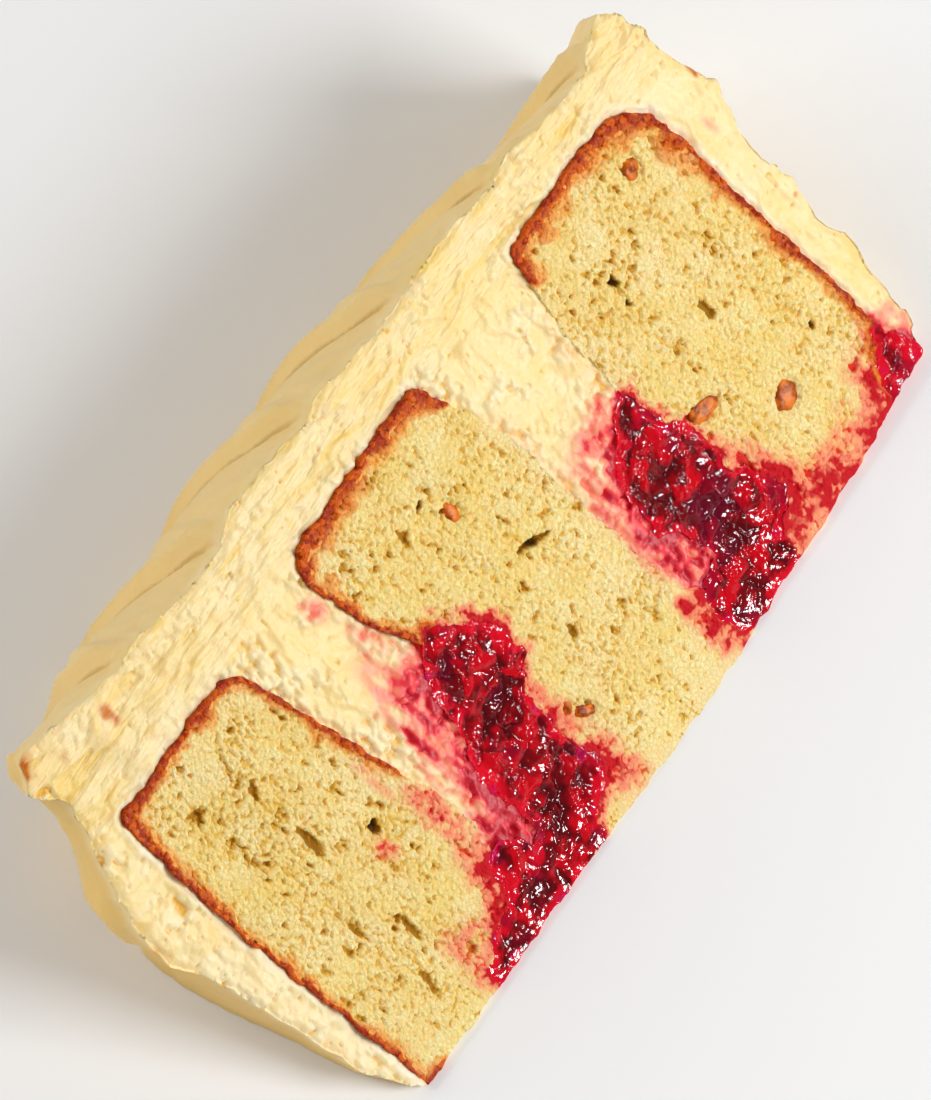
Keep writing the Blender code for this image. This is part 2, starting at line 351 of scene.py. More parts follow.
def crust_share(lot):
    """Which lumps of crumb are baked to crust, and how dark. Lots decide it where the crust thins out."""
    top = smooth_step(HEIGHT, 138, 144) * (1.3 + 1.1 * smooth_step(RHO, 10, 40))
    thick = {
        "sponge_top": top + 2.6 * smooth_step(RHO, 64, 73) * smooth_step(HEIGHT, 109, 117),
        "sponge_middle": 3.1 * smooth_step(RHO, 67, 74)
        + 1.9 * smooth_step(RHO, 42, 52) * smooth_step(-HEIGHT, -62, -56),
        "sponge_bottom": 2.5 * smooth_step(RHO, 66, 72)
        + 1.5 * smooth_step(RHO, 30, 44) * smooth_step(HEIGHT, 24, 30)
        + 1.5 * smooth_step(-HEIGHT, -8, -3),
    }
    uneven = np.clip(1.05 + 0.7 * fractal(RHO / 4.5, HEIGHT / 4.5, 21, 3), 0.4, 1.9)
    corners = 1.3 * bell(RHO, 71, 7) * (bell(HEIGHT, 146, 8) + bell(HEIGHT, 89, 6) + bell(HEIGHT, 116, 5))
    crust, baked = np.zeros_like(RHO), np.zeros_like(RHO)
    for sponge, depth in thick.items():
        baked_here = smooth_step(depth, 0.2, 1.0) * (AWAY[sponge] < 0.6)
        share = 1.25 + AWAY[sponge] / np.maximum((depth + corners * baked_here) * uneven, 0.01)
        crust = np.maximum(crust, smooth_step(share - 0.95 * lot, -0.08, 0.12) * baked_here)
        baked = np.maximum(baked, smooth_step(share + 0.5 * lot, -0.4, 1.55) * baked_here)
    return crust, baked


# Where jam has soaked into the crumb: rho, height, width, height of the patch and strength.
SOAKED = [
    (1, 123, 6.5, 7.5, 1.3), (2, 133, 7, 8, 1.0), (6, 141, 7.5, 5, 0.95), (5, 116, 12, 5.5, 0.9),
    (18, 114.5, 8, 2, 0.5), (5, 89.5, 6, 3, 0.7), (22, 93, 14, 3.2, 0.65), (40, 93, 14, 2.6, 0.5),
    (12, 89.6, 2.0, 1.6, 1.6), (5, 62, 8, 4, 0.75), (20, 62, 6, 2.4, 0.7), (4, 29, 7, 7, 0.85),
    (12, 34, 9, 4, 0.9), (26, 35.8, 9, 3.2, 0.95), (31.3, 25.6, 3.6, 2.2, 0.62), (8, 22, 7, 5, 0.5),
    (40, 33, 8, 1.8, 0.35),
]  # fmt: skip


def crumb_maps():
    """The crumb's relief, and how deep in a pore, how baked and how stained each point is. The material
    darkens the pores as painted shade.
    """
    x = RHO + 0.34 * fractal(RHO / 0.9, HEIGHT / 0.9, 31, 2)
    y = HEIGHT + 0.34 * fractal(RHO / 0.9, HEIGHT / 0.9, 33, 2)
    open_crumb = np.clip(0.5 + 0.6 * fractal(RHO / 6.5, HEIGHT / 4.5, 37, 3), 0, 1)
    near_lump, next_lump, lot = cells(x / 1.0, y / 0.85, 35)
    near_grain, _, _ = cells(x / 0.58, y / 0.58, 36)
    lumps = dome(near_lump, 0.82 - 0.28 * open_crumb)
    grains = dome(near_grain, 0.78)
    bubbles = smooth_step(fractal(x / 2.4, y / 1.7, 41, 4), 0.7 - 0.1 * open_crumb, 1.1)
    holes, sockets = np.zeros_like(RHO), np.zeros_like(RHO)
    for rho, height, along, across, lean, depth in LENS_HOLES:
        opened = ellipse(rho, height, along + 0.4, across + 0.3, lean, 0.5)
        holes = np.maximum(holes, depth * np.sqrt(opened))
    for rho, height, along, across, lean, _ in NUTS:
        sockets = np.maximum(sockets, np.sqrt(ellipse(rho, height, along + 1.2, across + 1.2, lean)))
    relief = 0.62 * lumps + 0.3 * grains + 0.28 * lot - 0.7
    relief -= 1.05 * bubbles + holes * (0.8 + 0.3 * lumps)
    relief += 0.35 * fractal(RHO / 13, HEIGHT / 10, 44, 2) - 0.9 * sockets
    gaps = 1 - smooth_step(lumps, 0.0, 0.62)
    creased = bell(next_lump - near_lump, 0, 0.1)
    # The pore map: gaps between lumps, bubbles and holes, which the material darkens as painted shade.
    pore = 0.55 * gaps + 0.3 * (1 - grains) + 0.25 * creased + 0.7 * bubbles
    pore = np.clip(pore + 1.2 * smooth_step(holes, 0, 1.2), 0, 1)
    near_chunk, next_chunk, chunk_lot = cells(x / 1.2, y / 1.2, 46)
    crust, baked = crust_share(chunk_lot)
    chunks = 0.8 * dome(near_chunk, 0.85) + 0.25 * grains + 0.35 * chunk_lot - 0.45
    relief = relief * (1 - crust) + chunks * crust
    # In the crust, the pore map marks the creases between its chunks, which the material darkens as painted
    # shade.
    creases = bell(next_chunk - near_chunk, 0, 0.16)
    pore = np.clip(pore * (1 - crust) + crust * np.maximum(creases, 0.3 * (1 - grains)), 0, 1)
    soaked = patches(SOAKED) + 1.1 * np.exp(-np.maximum(JAM_AWAY, 0) / 1.6)
    blotches = 0.55 + 0.5 * lot + 0.35 * fractal(RHO / 2.5, HEIGHT / 2.5, 48, 2)
    # Painted shade inside the deepest holes, and a little in all the holes.
    dark = np.maximum.reduce([ellipse(rho, height, 3.6, 3.6) for rho, height in SHADED_HOLES])
    return {
        "relief": relief * ROOM * BY_JAM * LEVEL,
        "pore": pore,
        "crust": crust,
        "baked": baked,
        "soaked": np.clip(soaked * blotches, 0, 1),
        "dark": np.maximum(dark * smooth_step(holes, 0.6, 1.5), 0.18 * smooth_step(holes, 0.5, 1.4)),
        "tone": lot * (1 - crust) + chunk_lot * crust,
        "creamy": smooth_step(SPONGE_AWAY, -3.5, 0) * BARE,
        "pale": np.clip(0.5 + 0.6 * fractal(RHO / 6, HEIGHT / 4.5, 51, 3), 0, 1),
    }


# ---------------------------------------------------------------- buttercream


# Cream that jam has run into: rho, height, width, height of the patch and strength.
PINK = [
    (16, 95, 9, 4.5, 0.95), (30, 94.5, 9, 4, 0.85), (42, 99, 5, 6, 0.6), (8, 91.5, 10, 2.4, 0.8),
    (24, 43.5, 13, 3.6, 0.95), (42, 47.5, 11, 4.5, 0.75), (55, 50.5, 6, 2.6, 0.4), (67, 48, 3.0, 2.2, 0.42),
    (17, 41, 8, 3, 1.1), (5, 150.5, 3, 1.5, 0.3), (60, 153.5, 2.5, 1, 0.25), (36, 42.5, 6, 1.6, 0.9),
]  # fmt: skip
# Orange-brown patches on the coat: rho, height, width, height of the patch and strength.
ORANGE_PATCHES = [
    (94, -4.0, 3.0, 3, 2.2), (86, 13, 2.4, 1.4, 1.2), (68, 158.4, 1.6, 0.9, 1.3), (39, 154.8, 0.7, 0.7, 0.9),
    (80, 156, 0.8, 0.6, 0.8), (82, 24, 1.6, 1.0, 0.5), (85, 30, 1.2, 2.2, 0.35), (88, 3, 2.0, 1.2, 0.45),
]  # fmt: skip


def cream_maps():
    """The cut buttercream's relief, and how pink, how white and how chunky it is. Beside the sponges, in the
    coat, it is dragged along the cut. Between them it is broken into curds."""
    from_sponge, from_edge = SPONGE_AWAY, -WHOLE
    beside = smooth_step(RHO, 70, 80)
    warp = 1.6 * fractal(RHO / 7, HEIGHT / 7, 60, 2)
    drag = fractal((RHO + warp) / 1.9, (HEIGHT - warp) / 8, 61, 3)
    drag_flat = fractal((RHO + warp) / 9, (HEIGHT - warp) / 2.6, 64, 3)
    fine_drag = fractal((RHO + warp) / 0.9, (HEIGHT - warp) / 5, 65, 2)
    smear = beside * (drag + 0.5 * fine_drag) + (1 - beside) * drag_flat
    slant = RHO + 0.16 * HEIGHT + 0.6 * warp
    folds = smooth_step(fractal(slant / 2.3, HEIGHT / 17, 75, 3), 0.3, 0.95)
    near_edge = smooth_step(-from_edge, -7, -2)
    patchy = smooth_step(fractal(RHO / 4.5, HEIGHT / 4.5, 77, 2), -0.25, 0.5)
    near_lump, _, lot = cells(RHO / 1.9 + 0.3 * drag, HEIGHT / 1.7 + 0.3 * drag_flat, 66)
    foot = smooth_step(-HEIGHT, 0, 2.5)
    near_clot, _, clot_lot = cells(RHO / 3.1 + 0.4 * drag, HEIGHT / 2.5 + 0.4 * drag_flat, 69)
    near_lump, lot = near_lump + foot * (near_clot - near_lump), lot + foot * (clot_lot - lot)
    reach = 4.0 + 6.5 * patchy
    near_crumb = smooth_step(1 - from_sponge / reach, 0, 0.5) * (1 - beside) * smooth_step(HEIGHT, 14, 30)
    below_top = smooth_step(-HEIGHT, -140, -134)
    near_crumb = near_crumb * below_top
    near_crumb = np.maximum(near_crumb, 0.85 * smooth_step(-HEIGHT, 0.5, 2.5) * (0.4 + 0.6 * patchy))
    near_crumb = np.maximum(near_crumb, smooth_step(1 - JAM_AWAY / 11, 0, 0.5) * below_top)
    chunky = np.clip(near_crumb * (0.5 + 0.5 * patchy) + 0.5 * near_edge * patchy * beside, 0, 1)
    curds = dome(near_lump, 0.52 + 0.28 * lot)
    chunks = 1.4 * curds + 0.5 * lot - 1.15
    pits = smooth_step(fractal(RHO / 0.8, HEIGHT / 0.8, 68, 2), 0.92, 1.15)
    rim = bell(from_sponge, 0.8, 0.8) * (1 - near_crumb) * (0.6 + 0.4 * patchy)
    low = smooth_step(-HEIGHT, -40, -10)
    relief = 0.38 * smear + (0.3 + 0.2 * low) * fractal(RHO / 5, HEIGHT / 6, 71, 3)
    relief += chunks * chunky - 0.45 * pits + 0.14 * rim - (0.5 + 0.3 * low) * folds * (0.3 + 0.7 * beside)
    relief -= 0.6 * smooth_step(-from_edge, -1.4, 0.2)
    streaks = 0.75 + 0.55 * fractal(RHO / 5, HEIGHT / 1.7, 73, 3) + 0.25 * (lot - 0.5) * chunky
    pink = patches(PINK) * streaks * 1.15 + 1.2 * np.exp(-np.maximum(JAM_AWAY, 0) / 1.5)
    gaps = chunky * (1 - smooth_step(curds, 0.05, 0.7))
    return {
        "relief": relief * ROOM * BY_JAM * LEVEL,
        "pink": np.clip(pink * (1 + chunky * (0.45 - 0.75 * curds)), 0, 1),
        "white": np.clip(rim * (from_sponge > -0.5), 0, 1),
        "chunky": chunky,
        "beside": beside,
        # Pits, and the gaps between curds, which the material darkens as painted shade.
        "pits": np.clip(pits + (0.75 + 0.25 * foot) * gaps, 0, 1),
        # The folds' hollows, which the material tints deeper yellow as painted shade.
        "folds": folds * (0.25 + 0.75 * beside),
        "browned": patches(ORANGE_PATCHES) * (0.8 + 0.4 * fractal(RHO / 1.2, HEIGHT / 1.2, 79, 2)),
        # Peach: cream stained beside the bare crumb, stronger in the gaps between curds, where it is also
        # painted shade.
        "peach": smooth_step(-from_sponge, -5, 0) * BARE * (0.5 + 0.5 * patchy) * (0.4 + 0.9 * (1 - curds)),
    }


# ---------------------------------------------------------------- jam


def jam_maps():
    """The jam's glossy lumps, and how thin it lies over cream or crumb."""
    x = RHO + 0.9 * fractal(RHO / 3, HEIGHT / 3, 81, 2)
    y = HEIGHT + 0.9 * fractal(RHO / 3, HEIGHT / 3, 83, 2)
    near_berry, _, lot = cells(x / 3.6, y / 3.2, 85)
    near_bead, _, bead_lot = cells(x / 1.3, y / 1.3, 86)
    berries = dome(near_berry, 0.5 + 0.45 * lot) ** 2
    beaded = smooth_step(fractal(RHO / 4, HEIGHT / 4, 90, 2), -0.2, 0.4)
    beads = dome(near_bead, 0.32 + 0.3 * bead_lot) * beaded
    billows = fractal(x / 4.2, y / 4.2, 88, 2)
    inwards = -np.minimum.reduce([REGION[jam] for jam in JAMS])
    relief = 0.55 * berries + 0.26 * beads + 0.75 * billows - 0.65
    relief = relief * smooth_step(inwards, -0.4, 1.4)
    thin = 1 - smooth_step(inwards + 1.3 * fractal(RHO / 2.6, HEIGHT / 2.6, 91, 3), 0.0, 2.6)
    return {
        "relief": relief * ROOM,
        "thin": thin,
        # Darkest in the hollows between the berries and billows: painted shade.
        "deep": 1 - smooth_step(berries + 0.7 * billows, -0.1, 0.8),
        "tone": np.clip(lot + 0.4 * fractal(RHO / 1.5, HEIGHT / 1.5, 93, 2), 0, 1),
    }


# ---------------------------------------------------------------- solids


def split_quads(a, b, c, d):
    """Two triangles for each quad, from the numbers of its corners."""
    halves = [np.stack(corners, -1).reshape(-1, 3) for corners in ((a, b, c), (a, c, d))]
    return np.concatenate(halves)


def cut_points(region, spacing):
    """A grid of points over a region with those near its border moved onto it, and triangles that fill it."""
    shown = np.argwhere(region < spacing)
    low = np.array(MAP_START) + shown.min(0) * FINE - spacing
    high = np.array(MAP_START) + shown.max(0) * FINE + spacing
    rho, height = np.meshgrid(*(np.arange(low[k], high[k], spacing) for k in (0, 1)), indexing="ij")
    start = (rho.copy(), height.copy())
    near_border = np.abs(read(region, rho, height)) < 0.75 * spacing
    for _ in range(3):
        here = read(region, rho, height)
        slope_x, slope_y = (rise / (2 * FINE) for rise in rises(region, rho, height, FINE))
        step = np.where(near_border, here / np.maximum(slope_x**2 + slope_y**2, 0.2), 0)
        rho, height = rho - step * slope_x, height - step * slope_y
    far = np.hypot(rho - start[0], height - start[1]) > 0.8 * spacing
    rho, height = np.where(far, start[0], rho), np.where(far, start[1], height)
    usable = near_border | (read(region, rho, height) < 0)
    index = np.arange(rho.size).reshape(rho.shape)
    triangles = split_quads(index[:-1, :-1], index[1:, :-1], index[1:, 1:], index[:-1, 1:])
    rho, height, usable = rho.ravel(), height.ravel(), usable.ravel()
    middle = read(region, rho[triangles].mean(1), height[triangles].mean(1))
    triangles = triangles[usable[triangles].all(1) & (middle < -0.04 * spacing)]
    used, triangles = np.unique(triangles, return_inverse=True)
    return rho[used], height[used], triangles.reshape(-1, 3)


def border_loops(triangles, count):
    """The border of some triangles as loops of point numbers, each run with the triangles on its left."""
    following = {}
    for start, end in zip(*border_edges(triangles, count)):
        following.setdefault(int(start), []).append(int(end))
    loops = []
    while following:
        first = next(iter(following))
        loop, here = [], first
        while here in following:
            loop.append(here)
            ends = following[here]
            here = ends.pop()
            if not ends:
                del following[loop[-1]]
        loops.append(loop)
    return loops


def coat_marks(rho, height, around, share):
    """How the spatula moved the coat's surface at that distance round from the upper cut face."""
    climb = (height + STEP_SLOPE * around) / STEP_SPACING
    part = climb - np.floor(climb)
    falling = 1 - STEP_UNDERSIDE
    step = np.where(part < falling, 1 - part / falling, (part - falling) / STEP_UNDERSIDE)
    lean = COAT_LEAN + FOOT_LEAN * smooth_step(-height, -26, -4)
    lean = lean + SIDE_LEAN * smooth_step(height, 96, 128) + BROW_LEAN * smooth_step(height, 142, 154)
    outwards = smooth_step(rho, 79, 84) * STEP_DEPTH * (step - 0.5)
    outwards -= smooth_step(rho, 50, 84) * lean * smooth_step(around, 0, 40)
    crest = 57 + SWIRL_DRIFT * around
    moved = SWIRL_HEIGHT * (1 - 0.7 * share) * bell(rho, crest, 6.5) + 1.2 * share * bell(rho, crest - 24, 9)
    swirl = smooth_step(share, 0, 0.15) * (SWIRL_HEIGHT * bell(rho, 57, 6.5) - moved)
    up, down = smooth_step(height, SPONGE_TOP, SPONGE_TOP + 4), smooth_step(-height, 1, 4)
    ripple = TOP_RIPPLE * np.sin(rho * 0.33 + around * 0.21) * smooth_step(rho, 10, 30)
    heel = FOOT_RISE * smooth_step(rho, 28, 70) + HEEL_RISE * smooth_step(rho, 72, 98)
    heel = heel * smooth_step(share, 0, 1) * smooth_step(-height, -34, 5)
    return outwards, up * ripple + down * swirl + heel


def stroke_marks(rho, height, around):
    """Fine marks of the spatula's edge: how many strokes up each point is, how much the strokes show there,
    and how far the marks move the coat outwards and upwards. They fade out at the foot and at the top."""
    climb = (height + STEP_SLOPE * around + 1.2 * noise(around / 9, rho / 40, 95)) / STEP_SPACING
    part = climb - np.floor(climb)
    on_side = smooth_step(rho, 79, 84) * smooth_step(around, 1.5, 9)
    on_side = on_side * smooth_step(height, -2, 6) * smooth_step(-height, -157, -150)
    groove = bell(part, 0.87, 0.035) * on_side
    lip = bell(part, 0.985, 0.03) * on_side + bell(part, -0.015, 0.03) * on_side
    along = height + STEP_SLOPE * around
    streak = fractal(along / 1.6 + 0 * rho, around / 22 + rho / 60, 97, 2)
    softly = smooth_step(around, 0.5, 5)
    outwards = smooth_step(rho, 76, 84) * (0.7 * lip - 0.7 * groove + 0.14 * streak * softly)
    flat_end = smooth_step(-height, 1, 4) + smooth_step(height, 150, 154)
    upwards = 0.16 * fractal(rho / 2.2 + 0 * around, around / 16, 99, 2) * flat_end * softly
    lumps = 0.35 * fractal(height / 3.5 + rho / 5, around / 3.5, 101, 2)
    lumps = lumps * bell(around, 4, 5) * smooth_step(around, 0, 1.5) * smooth_step(rho, 79, 84)
    return climb, on_side, (outwards + lumps, upwards)


# The maps of the cut buttercream that don't run round the coat.
CUT_ONLY = {"pink", "white", "chunky", "beside", "pits", "folds", "browned", "peach"}


def calm(rho, height, around):
    """How the torn edge of the cut settles into the coat's smooth outline on the way round."""
    off = read(SMOOTH, rho, height, COARSE)
    rise_x, rise_y = rises(SMOOTH, rho, height, COARSE)
    share = -off * smooth_step(around, 0.5, 10) / np.maximum(np.hypot(rise_x, rise_y), 0.5 * COARSE)
    return share * rise_x, share * rise_y


UNDERSIDE_AROUND = 99.0  # how far round the points of the lower cut face are said to be
# By WHOLE's values: borders below the first lie inside the slice, and columns above the second at its rim.
INSIDE, AT_RIM = -0.3, -0.45


class Solid:
    """Points and faces of one food, gathered a stretch at a time. Its points keep their rho and height, how
    far round the coat they are from the upper cut face, how many of the spatula's strokes up, and how much
    the strokes show. The edges where it meets another food are sharp, so that no shading is rounded there."""

    def __init__(self):
        self.points, self.flat, self.faces, self.sharp, self.count = [], [], [], [], 0

    def add(self, points, rho, height, around=0.0, climb=0.0, on_side=0.0):
        numbers = np.arange(self.count, self.count + len(points))
        self.points.append(points)
        marks = (0 * rho + values for values in (around, climb, on_side))
        self.flat.append(np.stack([rho, height, *marks], 1))
        self.count += len(points)
        return numbers

    def fill(self, faces):
        self.faces.append(np.asarray(faces, int).reshape(-1, 3))

    def quads(self, a, b, c, d):
        self.fill(split_quads(a, b, c, d))

    def side(self, border, rho, height):
        """The walls under one loop of the cut face's border. Gives the loop round their foot, which is on
        the lower cut face."""
        inner = read(WHOLE, rho, height) < INSIDE
        self.sharp += [(border[m - 1], border[m]) for m in range(len(border)) if inner[m - 1] and inner[m]]
        columns = max(3, len(border) // COLUMN)
        picks = (np.arange(columns) * len(border) / columns).astype(int)
        rho, height = rho[picks], height[picks]
        # Only columns at the rim get rings. One between two of those gets them too, or it leaves a spike.
        shown = read(WHOLE, rho, height) > AT_RIM
        shown |= np.roll(shown, 1) & np.roll(shown, -1)
        rings = int(LONGEST_WAY / RING_SPACING)
        share = np.concatenate([[FIRST_RING], np.linspace(0, 1, rings + 1)[1:]])[:, None]
        turn = SLICE_ANGLE * (1 - share)
        around = SLICE_ANGLE * share * (rho + TIP_SETBACK)
        marks = coat_marks(rho, height, around, share)
        unmarked = coat_marks(rho, height, 0 * around, 0 * share)
        climb, on_side, strokes = stroke_marks(rho, height, around)
        calmed = calm(rho, height, around)
        ring_rho = rho + np.where(shown, marks[0] - unmarked[0] + strokes[0] + calmed[0], 0)
        ring_height = height + np.where(shown, marks[1] - unmarked[1] + strokes[1] + calmed[1], 0)
        points = place(ring_rho, ring_height, turn)
        numbers = np.full(ring_rho.shape, -1)
        wanted = np.broadcast_to(shown, numbers.shape).copy()
        wanted[[0, -1]] = True
        kept = [values[wanted] for values in (ring_rho, ring_height, around, climb, on_side)]
        numbers[wanted] = self.add(points[wanted], *kept)
        for j in range(columns):
            k = (j + 1) % columns
            stretch = border[picks[j] : (picks[k] if k else len(border))] + [border[picks[k]]]
            joint = numbers[0, j]
            self.fill([(stretch[m + 1], stretch[m], joint) for m in range(len(stretch) - 1)])
            self.fill([(stretch[-1], joint, numbers[0, k])])
            self.wall(numbers[:, j], numbers[:, k])
        return numbers[-1], ring_rho[-1], ring_height[-1]

    def wall(self, left, right):
        """The faces between two columns of points, either of which may have only its ends."""
        full = [bool((column >= 0).all()) for column in (left, right)]
        if all(full):
            self.quads(left[1:], right[1:], right[:-1], left[:-1])
        elif not any(full):
            self.fill([(left[-1], right[-1], right[0]), (left[-1], right[0], left[0])])
        elif full[0]:
            self.fill(np.stack([left[1:], np.full(len(left) - 1, right[0]), left[:-1]], 1))
            self.fill([(left[-1], right[-1], right[0])])
        else:
            self.fill(np.stack([right[1:], right[:-1], np.full(len(right) - 1, left[0])], 1))
            self.fill([(right[-1], left[0], left[-1])])

    def underside(self, loops):
        """The lower cut face, from the loops of points round it."""
        numbers = np.concatenate([loop[0] for loop in loops])
        flat = np.concatenate([np.stack(loop[1:], 1) for loop in loops])
        edges, start = [], 0
        for loop in loops:
            size = len(loop[0])
            edges += [(start + m, start + (m + 1) % size) for m in range(size)]
            start += size
        outline = np.hstack([flat[[a for a, _ in edges]], flat[[b for _, b in edges]]])
        low, high = flat.min(0), flat.max(0)
        grid = np.meshgrid(*(np.arange(low[k], high[k], UNDERSIDE_SPACING) for k in (0, 1)), indexing="ij")
        grid = np.stack([g.ravel() for g in grid], 1)
        grid = grid[outline_distance(grid[:, 0], grid[:, 1], outline) < -0.5 * UNDERSIDE_SPACING]
        inner = self.add(place(grid[:, 0], grid[:, 1], 0), grid[:, 0], grid[:, 1], UNDERSIDE_AROUND)
        numbers, flat = np.concatenate([numbers, inner]), np.vstack([flat, grid])
        made = delaunay_2d_cdt([Vector(p) for p in flat], edges, [], 0, 1e-5)
        spots, triangles, sources = np.array([tuple(p) for p in made[0]]), np.array(made[2]), made[3]
        middle = spots[triangles].mean(1)
        triangles = triangles[outline_distance(middle[:, 0], middle[:, 1], outline) < 0]
        own = np.array([numbers[source[0]] if source else -1 for source in sources])
        triangles = own[triangles]
        triangles = triangles[(triangles >= 0).all(1)]
        self.fill(triangles[:, ::-1])

    def mesh_object(self, name, maps):
        points, flat = np.vstack(self.points) * MM, np.vstack(self.flat)
        faces = np.vstack(self.faces)
        mesh = bpy.data.meshes.new(name)
        mesh.from_pydata(points.tolist(), [], faces.tolist())
        cut_face = smooth_step(-flat[:, 2], -2.5, -0.1)
        layers = {key: read(field, flat[:, 0], flat[:, 1]) for key, field in maps.items() if key != "relief"}
        for key in set(layers) & CUT_ONLY:
            layers[key] = layers[key] * cut_face
        # The coat's lower end, off the cut face, which the material darkens as painted shade.
        layers["under"] = smooth_step(-flat[:, 1], -3, 3) * smooth_step(flat[:, 2], 0.4, 5)
        layers.update({"around": flat[:, 2], "climb": flat[:, 3], "on_side": flat[:, 4]})
        for key, values in layers.items():
            layer = mesh.attributes.new(key, "FLOAT", "POINT")
            layer.data.foreach_set("value", values.astype(np.float32))
        mesh.shade_smooth()
        ends = np.empty(2 * len(mesh.edges), int)
        mesh.edges.foreach_get("vertices", ends)
        ends, sharp = np.sort(ends.reshape(-1, 2)), np.sort(np.array(self.sharp))
        is_sharp = np.isin(ends @ [self.count, 1], sharp @ [self.count, 1])
        mesh.attributes.new("sharp_edge", "BOOLEAN", "EDGE").data.foreach_set("value", is_sharp)
        return add_object(name, mesh)


def food_solid(name, region, spacing, maps):
    """One food's solid between the two cut faces, with its relief on the upper one."""
    solid = Solid()
    rho, height, triangles = cut_points(region, spacing)
    relief = read(maps["relief"], rho, height)
    solid.add(place(rho, height, SLICE_ANGLE) + relief[:, None] * CUT_NORMAL, rho, height)
    solid.fill(triangles)
    loops = [loop for loop in border_loops(triangles, len(rho)) if len(loop) >= SHORTEST_LOOP]
    solid.underside([solid.side(loop, rho[loop], height[loop]) for loop in loops])
    return solid.mesh_object(name, maps)


# ---------------------------------------------------------------- materials


class Nodes:
    """A material's node tree, with short ways to add to it."""

    def __init__(self, name):
        self.material = bpy.data.materials.new(name)
        self.material.use_nodes = True
        self.tree = self.material.node_tree
        self.shader = self.tree.nodes["Principled BSDF"]
        self.place = self.add("ShaderNodeTexCoord").outputs["Object"]

    def add(self, kind, inputs=None, **settings):
        node = self.tree.nodes.new(kind)
        for key, value in settings.items():
            setattr(node, key, value)
        for key, value in (inputs or {}).items():
            self.put(node.inputs[key], value)
        return node

    def put(self, socket, value):
        if isinstance(value, bpy.types.NodeSocket):
            self.tree.links.new(value, socket)
        else:
            socket.default_value = value

    def attribute(self, name):
        return self.add("ShaderNodeAttribute", attribute_name=name).outputs["Fac"]

    def noise(self, size_mm, detail=3, roughness=0.5, at=None):
        """Noise whose features are about that large."""
        settings = {"Vector": at or self.place, "Scale": 1000 / size_mm}
        settings.update({"Detail": detail, "Roughness": roughness})
        return self.add("ShaderNodeTexNoise", settings).outputs["Fac"]

    def granules(self, size_mm, ragged_mm):
        """Distance in from the borders of ragged cells about that large, in parts of their size."""
        jolt = self.add("ShaderNodeTexNoise", {"Vector": self.place, "Scale": 1600 / size_mm, "Detail": 2})
        scale = {0: jolt.outputs["Color"], 1: (ragged_mm * MM,) * 3}
        shift = self.add("ShaderNodeVectorMath", scale, operation="MULTIPLY")
        terms = {0: self.place, 1: shift.outputs[0]}
        moved = self.add("ShaderNodeVectorMath", terms, operation="ADD").outputs[0]
        settings = {"Vector": moved, "Scale": 1000 / size_mm}
        return self.add("ShaderNodeTexVoronoi", settings, feature="DISTANCE_TO_EDGE").outputs["Distance"]

    def streaks(self, size_mm, stretch):
        """Noise that is that many times as long along the slice as it is wide."""
        scale = {0: self.place, 1: (1, 1 / stretch, 1)}
        drawn = self.add("ShaderNodeVectorMath", scale, operation="MULTIPLY").outputs[0]
        return self.noise(size_mm, at=drawn)

    def maths(self, operation, a, b=0.5):
        return self.add("ShaderNodeMath", {0: a, 1: b}, operation=operation).outputs[0]

    def between(self, value, low, high):
        """The value's place between the two limits, from 0 to 1 and smooth at both."""
        inputs = {"Value": value, "From Min": low, "From Max": high}
        return self.add("ShaderNodeMapRange", inputs, interpolation_type="SMOOTHSTEP").outputs[0]

    def mix(self, amount, a, b):
        node = self.add("ShaderNodeMix", {0: amount}, data_type="RGBA")
        self.put(node.inputs[6], a)
        self.put(node.inputs[7], b)
        return node.outputs[2]

    def tinted(self, colour, *tints):
        """The colour with tints mixed in, one after another. Each has an amount and may have a factor."""
        for tint, amount, *factor in tints:
            if factor:
                amount = self.maths("MULTIPLY", amount, factor[0])
            colour = self.mix(amount, colour, tint)
        return colour

    def bump(self, height, depth_mm, after=None):
        inputs = {"Height": height, "Distance": depth_mm * MM, "Strength": 1.0}
        if after:
            inputs["Normal"] = after
        return self.add("ShaderNodeBump", inputs).outputs[0]

    def finish(self, sockets):
        for key, value in sockets.items():
            self.put(self.shader.inputs[key], value)
        return self.material

    def food(self, colour, roughness, bump, shine, glow, glow_mm):
        """The material of a food in which light goes on for about that many millimetres."""
        surface = {"Base Color": colour, "Roughness": roughness, "Normal": bump, "Specular IOR Level": shine}
        return self.finish({**surface, "Subsurface Weight": glow, "Subsurface Scale": glow_mm * MM})


def rgb(red, green, blue):
    """A colour given as it looks on a screen, from 0 to 255."""
    return (*(((c / 255 + 0.055) / 1.055) ** 2.4 if c > 10 else c / 3294.6 for c in (red, green, blue)), 1)


